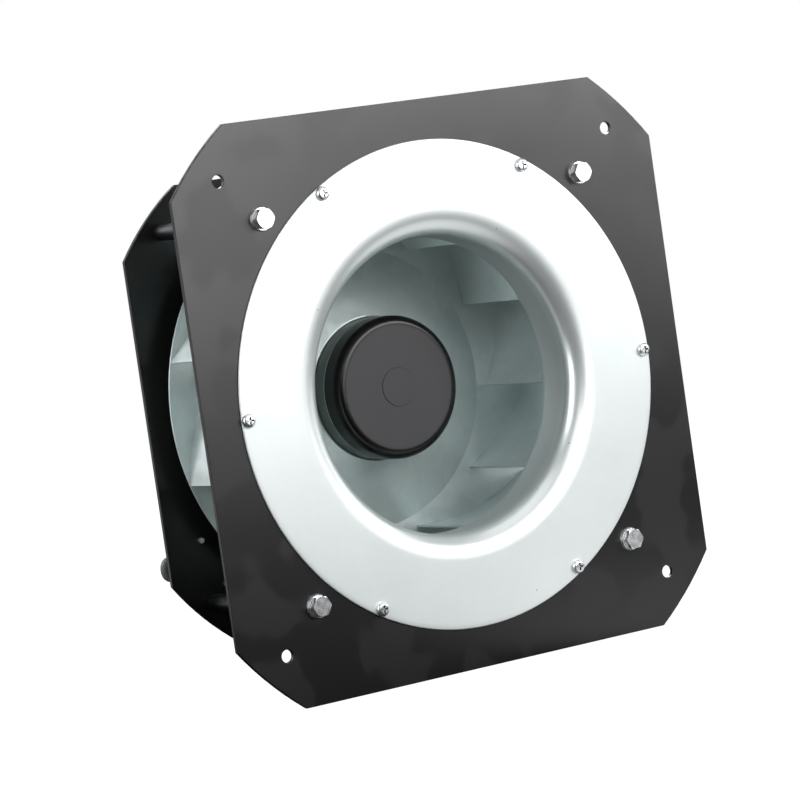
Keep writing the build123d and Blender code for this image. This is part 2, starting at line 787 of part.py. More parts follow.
# Two ball bearings: races, balls and cages
ball_points = circle_points(2 * ball_circle_radius, ball_count)
for bearing_name, bearing_depth in (("front", front_bearing_depth), ("rear", rear_bearing_depth)):
    middle_depth = bearing_depth + bearing_width / 2
    outer_race = race(outer_race_bore_radius, bearing_outer_radius, middle_depth)
    write(outer_race, f"{bearing_name}_bearing_outer_race")
    inner_race = race(shaft_radius + fit_gap, inner_race_radius, middle_depth)
    write(inner_race, f"{bearing_name}_bearing_inner_race")
    with BuildPart(facing_inlet(middle_depth)) as balls:
        with Locations(*ball_points):
            Sphere(ball_radius)
    write(balls.part, f"{bearing_name}_bearing_balls")
    with BuildPart() as cage:
        with BuildSketch(facing_inlet(middle_depth - cage_width / 2)):
            Circle(cage_outer_radius)
            Circle(cage_inner_radius, mode=Mode.SUBTRACT)
        extrude(amount=-cage_width)
        for ball_index in range(ball_count):
            ball_angle = 360 * ball_index / ball_count
            with BuildSketch(facing_out(ball_angle, ball_circle_radius - ball_radius, middle_depth)):
                Circle(ball_radius + cage_pocket_gap)
            extrude(amount=2 * ball_radius, mode=Mode.SUBTRACT)
    write(cage.part, f"{bearing_name}_bearing_cage")

# Rotor cap: moulded shell with a round shoulder and a plain raised boss on its face
cap_inner_radius = cap_radius - cap_wall
with BuildPart() as rotor_cap:
    with BuildSketch(facing_inlet(cap_edge_depth)):
        Circle(cap_radius)
    extrude(amount=cap_edge_depth - cap_front_depth)
    fillet(rotor_cap.edges().group_by(Axis.Y)[0], cap_shoulder)
    with BuildSketch(facing_inlet(cap_front_depth)):
        Circle(cap_boss_radius)
    extrude(amount=cap_boss_height)
    fillet(rotor_cap.edges().group_by(Axis.Y)[0], cap_boss_height * 0.8)
    with BuildPart(mode=Mode.PRIVATE) as cap_hollow:
        with BuildSketch(facing_inlet(cap_edge_depth)):
            Circle(cap_inner_radius)
        extrude(amount=cap_edge_depth - cap_front_depth - cap_wall)
        fillet(cap_hollow.edges().group_by(Axis.Y)[0], cap_shoulder - cap_wall)
    add(cap_hollow.part, mode=Mode.SUBTRACT)
write(rotor_cap.part, "rotor_cap")

# Rotor cup: steel shell that carries the magnets, stepped for the cap
cup_nose_radius = cap_inner_radius - seat_gap
cup_front_depth = cap_front_depth + cap_wall + seat_gap
cup_nose_round = cap_shoulder - cap_wall
rivet_angles = [360 * index / rivet_count for index in range(rivet_count)]
cup_boss_rear_depth = front_bearing_depth - cup_boss_gap
with BuildPart() as rotor_cup:
    with BuildSketch(Plane.XY) as cup_profile:
        with BuildLine():
            Polyline(
                (shaft_radius + fit_gap, cup_front_depth),
                (cup_nose_radius, cup_front_depth),
                (cup_nose_radius, cap_edge_depth + seat_gap),
                (cup_band_radius, cap_edge_depth + seat_gap),
                (cup_band_radius, cup_rear_depth),
                (cup_inner_radius, cup_rear_depth),
                (cup_inner_radius, cup_front_depth + cup_front_wall),
                (cup_boss_radius, cup_front_depth + cup_front_wall),
                (cup_boss_radius, cup_boss_rear_depth),
                (shaft_radius + fit_gap, cup_boss_rear_depth),
                close=True,
            )
        make_face()
        nose_corner = (cup_nose_radius, cup_front_depth, 0)
        fillet(cup_profile.vertices().sort_by_distance(nose_corner)[0], cup_nose_round)
    revolve(axis=Axis.Y)
    for rivet_angle in rivet_angles:
        with BuildSketch(facing_out(rivet_angle, cup_inner_radius - seat_gap, rivet_depth)):
            Circle(rivet_diameter / 2 + thread_gap)
        extrude(amount=cup_band_radius - cup_inner_radius + 2 * seat_gap, mode=Mode.SUBTRACT)
write(rotor_cup.part, "rotor_cup")

with BuildPart() as rotor_magnets:
    with BuildSketch(facing_inlet(magnet_front_depth)):
        Circle(cup_inner_radius - thread_gap)
        Circle(cup_inner_radius - thread_gap - magnet_thickness, mode=Mode.SUBTRACT)
        with PolarLocations(cup_inner_radius, magnet_count, 180 / magnet_count):
            Rectangle(4 * magnet_thickness, magnet_split, mode=Mode.SUBTRACT)
    extrude(amount=magnet_front_depth - magnet_rear_depth)
write(rotor_magnets.part, "rotor_magnets")

# Blade: a sheet bent along one arc, and the arc's centre and angles
blade_start = (blade_inner_radius, 0)
blade_end = (blade_outer_radius * cos(radians(blade_sweep)), blade_outer_radius * sin(radians(blade_sweep)))
chord = (blade_end[0] - blade_start[0], blade_end[1] - blade_start[1])
chord_length = hypot(*chord)
bend_radius = chord_length**2 / (8 * blade_bulge) + blade_bulge / 2
bend_offset = (bend_radius - blade_bulge) / chord_length
bend_centre = (
    (blade_start[0] + blade_end[0]) / 2 - chord[1] * bend_offset,
    (blade_start[1] + blade_end[1]) / 2 + chord[0] * bend_offset,
)
bend_first = atan2(blade_start[1] - bend_centre[1], blade_start[0] - bend_centre[0])
bend_last = atan2(blade_end[1] - bend_centre[1], blade_end[0] - bend_centre[0])
blade_length = bend_radius * (bend_last - bend_first)


def blade_point(share, offset):
    """Point at a share of the blade's length, offset from its middle line."""
    angle = bend_first + (bend_last - bend_first) * share
    radius = bend_radius + offset
    return (bend_centre[0] + radius * cos(angle), bend_centre[1] + radius * sin(angle))


def blade_band(first, last, thickness):
    """Outline of a band along the blade between two shares of its length."""
    half = thickness / 2
    middle = (first + last) / 2
    with BuildLine() as outline:
        ThreePointArc(blade_point(first, half), blade_point(middle, half), blade_point(last, half))
        Line(blade_point(last, half), blade_point(last, -half))
        ThreePointArc(blade_point(last, -half), blade_point(middle, -half), blade_point(first, -half))
        Line(blade_point(first, -half), blade_point(first, half))
    return outline.edges()


def shroud_path(shift, end_radius):
    """Neck, bend and cone of the shroud, shifted outwards from its blade side, for the open line."""
    neck_radius = throat_radius + ring_sheet + shroud_neck_gap + shift
    slope = tan(radians(shroud_slope))
    shifted_rim = shroud_rim_depth - shift / cos(radians(shroud_slope))
    corner = (neck_radius, shifted_rim - (disc_radius - neck_radius) * slope)
    end = (end_radius, shifted_rim - (disc_radius - end_radius) * slope)
    start = (neck_radius, shroud_front_depth)
    FilletPolyline(start, corner, end, radius=shroud_round - shift)
    return start, end


blade_angles = [blade_first_angle + 360 * index / blade_count for index in range(blade_count)]
slot_share = slot_gap / blade_length
tab_share = tab_length / blade_length
blade_limit_radius = blade_outer_radius + shroud_round
blade_core_radius = blade_inner_radius / 2

# Blades between the back plate and the shroud, with tabs through the back plate
for index, blade_angle in enumerate(blade_angles):
    blade_plane = facing_inlet(disc_depth, blade_angle)
    with BuildPart() as blade:
        with BuildSketch(blade_plane):
            make_face(blade_band(0, 1, blade_sheet))
        extrude(amount=disc_depth - shroud_front_depth)
        with BuildSketch(Plane.XY):
            with BuildLine():
                path_start, path_end = shroud_path(-seat_gap, blade_limit_radius)
                Polyline(
                    path_end,
                    (blade_limit_radius, disc_depth),
                    (blade_core_radius, disc_depth),
                    (blade_core_radius, shroud_front_depth),
                    path_start,
                )
            make_face()
        revolve(axis=Axis.Y, mode=Mode.INTERSECT)
        for tab_start in tab_starts:
            with BuildSketch(blade_plane):
                make_face(blade_band(tab_start, tab_start + tab_share, blade_sheet))
            extrude(amount=-(disc_sheet + tab_stand))
    write(blade.part, f"impeller_blade_{index + 1:02d}")

# Back plate: flat disc, conical centre and the collar that grips the rotor cup
collar_radius = cup_band_radius + thread_gap
collar_outer_radius = collar_radius + disc_sheet
dish_slope = atan2(disc_depth - dish_front_depth, crease_radius - collar_radius)
crease_rear = (crease_radius - disc_sheet * tan(dish_slope / 2), disc_depth + disc_sheet)
dish_rear_depth = crease_rear[1] - (crease_rear[0] - collar_outer_radius) * tan(dish_slope)
with BuildPart() as back_plate:
    with BuildSketch(Plane.XY) as dish_profile:
        with BuildLine():
            Polyline(
                (collar_radius, dish_front_depth),
                (crease_radius, disc_depth),
                (disc_radius, disc_depth),
                (disc_radius, disc_depth + disc_sheet),
                crease_rear,
                (collar_outer_radius, dish_rear_depth),
                (collar_outer_radius, collar_rear_depth),
                (collar_radius, collar_rear_depth),
                close=True,
            )
        make_face()
        lip = dish_profile.vertices().sort_by_distance((collar_radius, dish_front_depth, 0))[0]
        crease_front_vertex = dish_profile.vertices().sort_by_distance((crease_radius, disc_depth, 0))[0]
        crease_rear_vertex = dish_profile.vertices().sort_by_distance((*crease_rear, 0))[0]
        fillet(lip, dish_lip_round)
        fillet(crease_front_vertex, crease_round)
        fillet(crease_rear_vertex, crease_round + disc_sheet)
    revolve(axis=Axis.Y)
    for blade_angle in blade_angles:
        with BuildSketch(facing_inlet(disc_depth, blade_angle)):
            for tab_start in tab_starts:
                slot_end = tab_start + tab_share + slot_share
                make_face(blade_band(tab_start - slot_share, slot_end, blade_sheet + 2 * slot_gap))
        extrude(amount=-disc_sheet, mode=Mode.SUBTRACT)
    for rivet_angle in rivet_angles:
        with BuildSketch(facing_out(rivet_angle, cup_inner_radius, rivet_depth)):
            Circle(rivet_diameter / 2 + thread_gap)
        extrude(amount=collar_outer_radius - cup_inner_radius + seat_gap, mode=Mode.SUBTRACT)
write(back_plate.part, "impeller_back_plate")

# Shroud: the front ring of the impeller, around the end of the inlet ring
with BuildPart() as impeller_shroud:
    with BuildSketch(Plane.XY):
        with BuildLine():
            inner_start, inner_end = shroud_path(0, disc_radius)
            outer_start, outer_end = shroud_path(shroud_sheet, disc_radius)
            Line(inner_start, outer_start)
            Line(inner_end, outer_end)
        make_face()
    revolve(axis=Axis.Y)
write(impeller_shroud.part, "impeller_shroud")

# Rivets through the collar into the rotor cup
with BuildPart() as impeller_rivets:
    for rivet_angle in rivet_angles:
        with BuildSketch(facing_out(rivet_angle, cup_inner_radius + seat_gap, rivet_depth)):
            Circle(rivet_diameter / 2)
        extrude(amount=collar_outer_radius - cup_inner_radius)
        with BuildSketch(facing_out(rivet_angle, collar_outer_radius + fit_gap, rivet_depth)):
            Circle(rivet_head / 2)
        extrude(amount=rivet_head_height, taper=30)
write(impeller_rivets.part, "impeller_rivets")
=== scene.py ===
"""Looks of the centrifugal fan: finishes for every piece, the pieces worked out here, and the stage.

It is laid out as an add-on, with an operator for each group of pieces, and is run as a script.
Lengths are metres in the part's own frame: +Y runs from the inlet to the motor's rear, +Z is up.
"""

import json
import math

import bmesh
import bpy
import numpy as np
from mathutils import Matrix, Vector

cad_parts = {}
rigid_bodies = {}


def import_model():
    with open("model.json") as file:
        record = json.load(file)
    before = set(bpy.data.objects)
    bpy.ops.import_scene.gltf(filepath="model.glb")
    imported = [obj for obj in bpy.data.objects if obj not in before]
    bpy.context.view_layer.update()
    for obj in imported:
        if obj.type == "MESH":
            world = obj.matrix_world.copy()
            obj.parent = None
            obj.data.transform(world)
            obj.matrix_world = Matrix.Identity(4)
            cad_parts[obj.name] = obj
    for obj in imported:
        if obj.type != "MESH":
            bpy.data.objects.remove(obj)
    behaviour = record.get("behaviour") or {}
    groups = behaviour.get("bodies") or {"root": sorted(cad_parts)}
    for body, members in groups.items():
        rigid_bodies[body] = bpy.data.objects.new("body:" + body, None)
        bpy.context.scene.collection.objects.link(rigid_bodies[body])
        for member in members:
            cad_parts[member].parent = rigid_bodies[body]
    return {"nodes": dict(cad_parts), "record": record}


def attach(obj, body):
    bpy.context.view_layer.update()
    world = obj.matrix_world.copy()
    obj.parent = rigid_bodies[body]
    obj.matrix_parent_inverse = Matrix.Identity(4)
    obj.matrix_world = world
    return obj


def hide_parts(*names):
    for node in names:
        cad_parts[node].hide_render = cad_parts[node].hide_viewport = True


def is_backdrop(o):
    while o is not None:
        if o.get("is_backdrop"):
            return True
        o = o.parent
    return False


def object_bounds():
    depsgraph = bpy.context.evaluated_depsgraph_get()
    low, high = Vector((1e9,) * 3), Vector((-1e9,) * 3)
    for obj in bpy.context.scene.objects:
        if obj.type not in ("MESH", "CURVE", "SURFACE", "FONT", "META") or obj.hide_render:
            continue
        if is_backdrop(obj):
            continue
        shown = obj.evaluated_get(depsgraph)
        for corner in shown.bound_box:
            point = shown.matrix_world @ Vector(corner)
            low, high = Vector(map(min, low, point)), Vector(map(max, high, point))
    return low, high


bl_info = {
    "name": "Centrifugal Fan Looks",
    "version": (1, 0, 0),
    "blender": (4, 5, 0),
    "location": "View3D > Sidebar > Fan",
    "description": "Finishes, wound and braided pieces, and the studio of a centrifugal fan",
    "category": "Object",
}

for start_up_object in list(bpy.data.objects):
    bpy.data.objects.remove(start_up_object)

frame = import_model()

MM = 0.001


def shade(red, green, blue):
    """A display colour of 0 to 255 as the linear colour that Blender's sockets take."""
    levels = np.array((red, green, blue)) / 255
    low = levels / 12.92
    high = ((levels + 0.055) / 1.055) ** 2.4
    return tuple(float(value) for value in np.where(levels <= 0.04045, low, high))


def opaque(colour):
    """The colour with a full alpha."""
    return (*colour[:3], 1.0)


# Properties a user would change


def colour_property(name, description, default):
    """A colour picker for a finish."""
    return bpy.props.FloatVectorProperty(
        name=name, description=description, subtype="COLOR", size=3, min=0.0, max=1.0, default=default
    )


def length_property(name, description, default):
    """A length in metres."""
    return bpy.props.FloatProperty(name=name, description=description, unit="LENGTH", default=default)


def angle_property(name, description, degrees):
    """An angle, given in degrees."""
    return bpy.props.FloatProperty(
        name=name, description=description, subtype="ANGLE", default=math.radians(degrees)
    )


class FanColours(bpy.types.PropertyGroup):
    """Colours of the fan's finishes."""

    plate: colour_property("Plates", "Powder coat of the two plates", shade(13, 13, 14))
    ring: colour_property("Inlet ring", "Galvanised sheet of the inlet ring", shade(226, 232, 232))
    impeller: colour_property("Impeller", "Galvanised sheet of the impeller", shade(206, 217, 216))
    zinc: colour_property("Fasteners", "Bright zinc of bolts, screws and rivets", shade(230, 232, 234))
    column: colour_property("Columns", "Turned steel of the columns", shade(92, 94, 96))
    cap: colour_property("Rotor cap", "Moulded cap over the rotor", shade(20, 20, 21))
    rotor: colour_property("Rotor cup", "Bare metal of the rotor", shade(120, 128, 124))
    casting: colour_property("Castings", "Cast aluminium of the motor's housing", shade(176, 178, 180))
    board: colour_property("Circuit board", "Solder mask of the circuit board", shade(18, 84, 46))
    copper: colour_property("Windings", "Enamelled copper wire", shade(176, 84, 40))
    lamination: colour_property("Stator core", "Stacked electrical steel", shade(110, 112, 116))
    insulator: colour_property("Insulators", "Moulded slot insulators", shade(226, 222, 206))
    magnet: colour_property("Magnets", "Pressed magnet segments", shade(62, 62, 64))
    steel: colour_property("Bearings and shaft", "Ground and polished steel", shade(196, 198, 201))
    brass: colour_property("Brass", "Bearing cages and connector pins", shade(198, 160, 84))
    rubber: colour_property("Gasket", "Rubber of the cover's gasket", shade(30, 30, 30))
    nylon: colour_property("Gland", "Moulded nylon of the cable gland", shade(26, 26, 27))
    sleeve: colour_property("Lead", "Braided sleeve of the lead", shade(104, 106, 106))
    clip: colour_property("Clips", "Plated spring steel of clips and washers", shade(186, 188, 190))
    connector: colour_property("Connector", "Moulded connector of the lead", shade(224, 222, 214))
    component: colour_property("Components", "Moulded cases of the board's components", shade(30, 30, 32))


class FanDetails(bpy.types.PropertyGroup):
    """Sizes of the pieces that are worked out here."""

    ring_diameter: length_property("Ring diameter", "Outer diameter of the inlet ring", 343 * MM)
    ring_sheet: length_property("Ring sheet", "Thickness of the inlet ring's sheet", 1.5 * MM)
    throat_radius: length_property("Throat radius", "Inner radius of the straight throat", 105 * MM)
    throat_depth: length_property("Throat depth", "Plate's front face to the throat's lip", 38 * MM)
    bell_width: length_property("Bell width", "Width of the rolled bell", 19 * MM)
    bell_depth: length_property("Bell depth", "Depth of the rolled bell", 13 * MM)
    lead_diameter: length_property("Lead diameter", "Outer diameter of the braided sleeve", 6.5 * MM)
    braid_depth: length_property("Braid depth", "How deep the braid dips between its strands", 0.35 * MM)
    braid_pitch: length_property("Braid pitch", "Length along the lead of one turn of a strand", 22 * MM)
    wire_diameter: length_property("Wire diameter", "Thickness of the winding wire", 0.9 * MM)


class FanStudio(bpy.types.PropertyGroup):
    """The camera's place and lens."""

    azimuth: angle_property("Azimuth", "Camera's turn about +Z", -32.145)
    elevation: angle_property("Elevation", "Camera's height above level", 3.374)
    roll: angle_property("Roll", "Camera's turn about its own axis", -8.226)
    distance: length_property("Distance", "Camera to the point it is aimed at", 2.464)
    aim: bpy.props.FloatVectorProperty(
        name="Aim", description="Point the camera is aimed at", subtype="TRANSLATION",
        default=(-0.0438, 0.0, -0.0046)
    )
    lens: bpy.props.FloatProperty(name="Lens", description="Focal length in millimetres", default=160.24)


# Shader expressions


class Wire:
    """A shader socket that takes part in Python expressions, each of which adds its Math node."""

    def __init__(self, nodes, socket):
        self.nodes = nodes
        self.socket = socket

    def _maths(self, operation, *terms):
        return self.nodes.node("ShaderNodeMath", {"operation": operation}, dict(enumerate(terms)))

    def __add__(self, other):
        return self._maths("ADD", self, other)

    __radd__ = __add__

    def __sub__(self, other):
        return self._maths("SUBTRACT", self, other)

    def __rsub__(self, other):
        return self._maths("SUBTRACT", other, self)

    def __mul__(self, other):
        return self._maths("MULTIPLY", self, other)

    __rmul__ = __mul__

    def sine(self):
        return self._maths("SINE", self)

    def root(self):
        return self._maths("SQRT", self)

    def larger(self, other):
        return self._maths("MAXIMUM", self, other)

    def angle_with(self, other):
        return self._maths("ARCTAN2", self, other)


class Nodes:
    """A node tree to build in, and the coordinates that its patterns go by."""

    def __init__(self, tree, coordinates):
        self.tree = tree
        self.place = self.node("ShaderNodeTexCoord", {}, {}, coordinates)

    def node(self, kind, settings, values, output=0):
        """Adds a node: its settings first, then the values or links of its sockets."""
        made = self.tree.nodes.new(kind)
        for name, setting in settings.items():
            setattr(made, name, setting)
        for key, value in values.items():
            if isinstance(value, Wire):
                self.tree.links.new(value.socket, made.inputs[key])
            else:
                made.inputs[key].default_value = value
        return Wire(self, made.outputs[output])

    def axis(self, letter):
        """One of the coordinates: metres on a piece, and a direction's share in the world."""
        return self.node("ShaderNodeSeparateXYZ", {}, {0: self.place}, letter)

    def radius(self):
        """Distance from the fan's axis, in metres."""
        across, up = self.axis("X"), self.axis("Z")
        return (across * across + up * up).root()

    def stretched(self, x, y, z):
        """The coordinates with each axis scaled by its own amount."""
        return self.node("ShaderNodeMapping", {}, {"Vector": self.place, "Scale": (x, y, z)})

    def noise(self, size, detail, vector=None):
        """Cloudy noise of 0 to 1 whose features are about size metres across."""
        values = {"Vector": vector or self.place, "Scale": 1 / size, "Detail": detail}
        return self.node("ShaderNodeTexNoise", {}, values)

    def cells(self, size, output="Distance"):
        """Cell pattern with cells about size metres across."""
        return self.node("ShaderNodeTexVoronoi", {}, {"Vector": self.place, "Scale": 1 / size}, output)

    def ramp(self, value, start, end, low=0.0, high=1.0):
        """The value's stretch from start to end, smoothly mapped to low to high and held outside it."""
        settings = {"interpolation_type": "SMOOTHSTEP"}
        return self.node("ShaderNodeMapRange", settings, {0: value, 1: start, 2: end, 3: low, 4: high})

    def mix(self, share, first, second):
        """The first colour turned into the second by share."""
        first, second = (c if isinstance(c, Wire) else opaque(c) for c in (first, second))
        return self.node("ShaderNodeMix", {"data_type": "RGBA"}, {0: share, 6: first, 7: second}, 2)

    def bump(self, height, distance, strength):
        """Normal for a relief of that height pattern, distance metres deep."""
        values = {"Height": height, "Distance": distance, "Strength": strength}
        return self.node("ShaderNodeBump", {}, values)


class Finish(Nodes):
    """One procedural material, built on the piece's Object coordinates."""

    def __init__(self, name):
        self.material = bpy.data.materials.new(name)
        self.material.use_nodes = True
        super().__init__(self.material.node_tree, "Object")
        self.shader = self.tree.nodes["Principled BSDF"]

    def surface(self, **sockets):
        """Sets or links the shader's sockets, named with underscores for spaces."""
        for name, value in sockets.items():
            socket = self.shader.inputs[name.replace("_", " ")]
            if isinstance(value, Wire):
                self.tree.links.new(value.socket, socket)
            else:
                socket.default_value = opaque(value) if name == "Base_Color" else value
        return self.material


def tinted(colour, factor):
    """The colour made lighter or darker by a factor."""
    return tuple(min(1.0, channel * factor) for channel in colour[:3])


# Finishes


def powder_coat(colours):
    """Satin black powder coat: fine orange peel, with duller patches left by wiping and handling."""
    finish = Finish("powder_coat")
    cloud = finish.noise(48 * MM, 1.5)
    wiped = finish.ramp(cloud, 0.49, 0.56)
    peel = finish.noise(1.6 * MM, 2.0)
    fine = finish.noise(0.5 * MM, 1.0)
    return finish.surface(
        Base_Color=finish.mix(wiped, tinted(colours.plate, 1.1), tinted(colours.plate, 0.8)),
        Roughness=0.26 + 0.03 * cloud + 0.07 * wiped + 0.03 * fine,
        Specular_IOR_Level=0.55,
        Normal=finish.bump(peel + 0.4 * fine, 0.05 * MM, 0.35),
    )


def galvanised_ring(colours):
    """Galvanised sheet spun to shape: pale with a few specks, smoother on the bell, duller in the throat,
    with painted shade that darkens the throat deeper in.
    """
    bell_edge, bell_inside = 124 * MM, 112 * MM
    throat_start, throat_inside = 6 * MM, 20 * MM
    finish = Finish("galvanised_ring")
    cloud = finish.noise(55 * MM, 3.0)
    grain = finish.noise(5 * MM, 4.0)
    worked = finish.ramp(finish.radius(), bell_edge, bell_inside)
    # deep rises with the depth into the throat: in the colour it is painted shade, in the roughness a duller
    # sheet
    deep = finish.ramp(finish.axis("Y"), throat_start, throat_inside)
    speck = finish.ramp(finish.cells(26 * MM), 0.032, 0.02)
    pale = finish.mix(0.35 * grain + 0.65 * cloud, tinted(colours.ring, 0.94), tinted(colours.ring, 1.04))
    return finish.surface(
        Base_Color=finish.mix(0.6 * speck + 0.35 * deep, pale, tinted(colours.ring, 0.3)),
        Metallic=0.45 + 0.25 * worked,
        Roughness=0.34 + 0.05 * grain + 0.04 * cloud - 0.09 * worked + 0.1 * deep,
        Normal=finish.bump(grain * (1 - worked), 0.005 * MM, 0.3),
    )


def galvanised_impeller(colours):
    """Satin galvanised sheet of the impeller: soft cloudiness with a faint rolled grain."""
    finish = Finish("galvanised_impeller")
    cloud = finish.noise(45 * MM, 3.0)
    grain = finish.noise(1.2 * MM, 2.0, finish.stretched(1.0, 1.0, 0.15))
    spangle = finish.node("ShaderNodeSeparateColor", {}, {0: finish.cells(7 * MM, output="Color")}, 1)
    share = 0.55 * cloud + 0.25 * spangle + 0.2 * grain
    return finish.surface(
        Base_Color=finish.mix(share, tinted(colours.impeller, 0.86), tinted(colours.impeller, 1.12)),
        Metallic=0.65,
        Roughness=0.32 + 0.07 * spangle + 0.05 * cloud,
        Normal=finish.bump(grain, 0.02 * MM, 0.3),
    )


def bright_zinc(colours):
    """Bright zinc plating on small fasteners, dulled a little in patches, with painted shade that darkens
    its recesses and seams.
    """
    finish = Finish("bright_zinc")
    near_faces = {"samples": 8, "only_local": True}
    # Ambient occlusion finds the recesses and seams, and the colour is darkened there as painted shade
    openness = finish.node("ShaderNodeAmbientOcclusion", near_faces, {"Distance": 1.6 * MM}, "AO")
    painted_recess_shade = finish.ramp(openness, 0.75, 0.35)
    dull = finish.noise(4 * MM, 3.0)
    fine = finish.noise(0.4 * MM, 2.0)
    plated = finish.mix(dull, tinted(colours.zinc, 0.86), tinted(colours.zinc, 1.08))
    return finish.surface(
        Base_Color=finish.mix(painted_recess_shade, plated, tinted(colours.zinc, 0.12)),
        Metallic=0.9,
        Roughness=0.18 + 0.2 * dull,
        Normal=finish.bump(fine, 0.01 * MM, 0.4),
    )


def turned_steel(colours):
    """Turned bar with fine rings across its length."""
    ring_pitch = 0.35 * MM
    finish = Finish("turned_steel")
    feed = (finish.axis("Y") * (2 * math.pi / ring_pitch)).sine()
    dull = finish.noise(12 * MM, 3.0)
    return finish.surface(
        Base_Color=finish.mix(dull, tinted(colours.column, 0.8), tinted(colours.column, 1.15)),
        Metallic=1.0,
        Roughness=0.28 + 0.14 * dull,
        Normal=finish.bump(feed, 0.008 * MM, 0.5),
    )


def moulded_cap(colours):
    """Black cap: a fine matt grain on the face, which fades into the smoother shoulder; the face is painted
    paler as a painted sheen, and the shoulder darker as painted shade.
    """
    shoulder, face_edge = 45.6 * MM, 43.4 * MM
    finish = Finish("moulded_cap")
    face = finish.ramp(finish.radius(), shoulder, face_edge)
    grain = finish.noise(0.45 * MM, 2.0)
    cloud = finish.noise(30 * MM, 2.0)
    # Both are copies of the cap's own colour: the pale face is a painted sheen, the dark shoulder painted
    # shade
    dark, pale = tinted(colours.cap, 0.3), tinted(colours.cap, 6.5)
    return finish.surface(
        Base_Color=finish.mix(face * (0.85 + 0.15 * cloud), dark, pale),
        Roughness=0.24 + 0.19 * face + 0.05 * grain,
        Specular_IOR_Level=0.35,
        Normal=finish.bump(grain * face, 0.03 * MM, 0.4),
    )


def rotor_metal(colours):
    """Drawn steel cup of the rotor: faint drawing lines along its depth, and a painted highlight, a band
    four times paler, at its edge beside the cap.
    """
    painted_glint_rear, painted_glint_front = 87.6 * MM, 87.3 * MM
    finish = Finish("rotor_metal")
    # rim marks the edge beside the cap, which is painted pale as a highlight
    rim = finish.ramp(finish.axis("Y"), painted_glint_rear, painted_glint_front)
    turn = finish.axis("X").angle_with(finish.axis("Z"))
    unrolled = finish.node("ShaderNodeCombineXYZ", {}, {0: turn * 3.0, 1: finish.axis("Y")})
    lines = finish.noise(20 * MM, 3.0, unrolled)
    drawn = finish.mix(lines, tinted(colours.rotor, 0.85), tinted(colours.rotor, 1.1))
    return finish.surface(
        Base_Color=finish.mix(rim, drawn, tinted(colours.rotor, 4.0)),
        Metallic=0.7,
        Roughness=0.34 + 0.1 * lines,
        Normal=finish.bump(lines, 0.02 * MM, 0.4),
    )


def die_cast(colours):
    """Die-cast aluminium: fine blasted grain, flow clouds and small darker pits."""
    finish = Finish("die_cast")
    flow = finish.noise(28 * MM, 4.0)
    grain = finish.noise(0.7 * MM, 3.0)
    pits = finish.ramp(finish.cells(2.2 * MM), 0.22, 0.05)
    share = 0.6 * flow + 0.4 * grain - 0.25 * pits
    return finish.surface(
        Base_Color=finish.mix(share, tinted(colours.casting, 0.82), tinted(colours.casting, 1.12)),
        Metallic=0.75,
        Roughness=0.42 + 0.12 * grain,
        Normal=finish.bump(grain - 0.6 * pits, 0.06 * MM, 0.5),
    )


def circuit_board(colours):
    """Solder mask over a grid of traces, with bare pads here and there."""
    trace_pitch = 2.5 * MM
    finish = Finish("circuit_board")
    across, up = finish.axis("X"), finish.axis("Z")
    pace = 2 * math.pi / trace_pitch
    wander = 6.0 * finish.noise(14 * MM, 1.0)
    traces = finish.ramp((across * pace + wander).sine().larger((up * pace - wander).sine()), 0.80, 0.90)
    pads = finish.ramp(finish.cells(5.2 * MM), 0.17, 0.13)
    masked = finish.mix(traces, colours.board, tinted(colours.board, 1.9))
    return finish.surface(
        Base_Color=finish.mix(pads, masked, shade(196, 190, 170)),
        Metallic=0.8 * pads,
        Roughness=0.34 - 0.1 * traces,
        Normal=finish.bump(traces + pads, 0.035 * MM, 0.6),
    )


def enamelled_copper(colours):
    """Enamelled copper wire: warm metal with soft patches of tone under a clear coat."""
    finish = Finish("enamelled_copper")
    cloud = finish.noise(6 * MM, 3.0)
    return finish.surface(
        Base_Color=finish.mix(cloud, tinted(colours.copper, 0.78), tinted(colours.copper, 1.15)),
        Metallic=0.85,
        Roughness=0.26 + 0.12 * cloud,
        Coat_Weight=0.6,
        Coat_Roughness=0.12,
    )


def stacked_steel(colours):
    """Stator core of punched sheets: thin lines between the sheets across the stack."""
    sheet_thickness = 0.5 * MM
    finish = Finish("stacked_steel")
    sheets = (finish.axis("Y") * (2 * math.pi / sheet_thickness)).sine()
    gap = finish.ramp(sheets, -0.55, -0.95)
    stain = finish.noise(9 * MM, 3.0)
    lit = finish.mix(stain, tinted(colours.lamination, 0.8), tinted(colours.lamination, 1.15))
    return finish.surface(
        Base_Color=finish.mix(gap, lit, tinted(colours.lamination, 0.3)),
        Metallic=0.8,
        Roughness=0.4 + 0.15 * stain,
        Normal=finish.bump(sheets, 0.04 * MM, 0.6),
    )


def ground_steel(colours):
    """Ground steel of races, balls and shaft, with a trace of the grinding lines."""
    finish = Finish("ground_steel")
    lines = finish.noise(0.3 * MM, 2.0, finish.stretched(0.1, 1.0, 0.1))
    film = finish.noise(5 * MM, 2.0)
    return finish.surface(
        Base_Color=finish.mix(film, tinted(colours.steel, 0.92), tinted(colours.steel, 1.05)),
        Metallic=1.0,
        Roughness=0.12 + 0.1 * lines,
        Normal=finish.bump(lines, 0.004 * MM, 0.4),
    )


def mottled(colour, metallic, roughness, patch, grain, relief, spread):
    """A plain finish with patches of tone and a fine grain, for small plated, moulded and pressed pieces."""
    finish = Finish("mottled")
    tone = finish.noise(patch * MM, 3.0)
    fine = finish.noise(grain * MM, 2.0)
    return finish.surface(
        Base_Color=finish.mix(tone, tinted(colour, 1 - spread), tinted(colour, 1 + spread)),
        Metallic=metallic,
        Roughness=roughness + 0.1 * tone,
        Normal=finish.bump(fine, relief * MM, 0.5),
    )


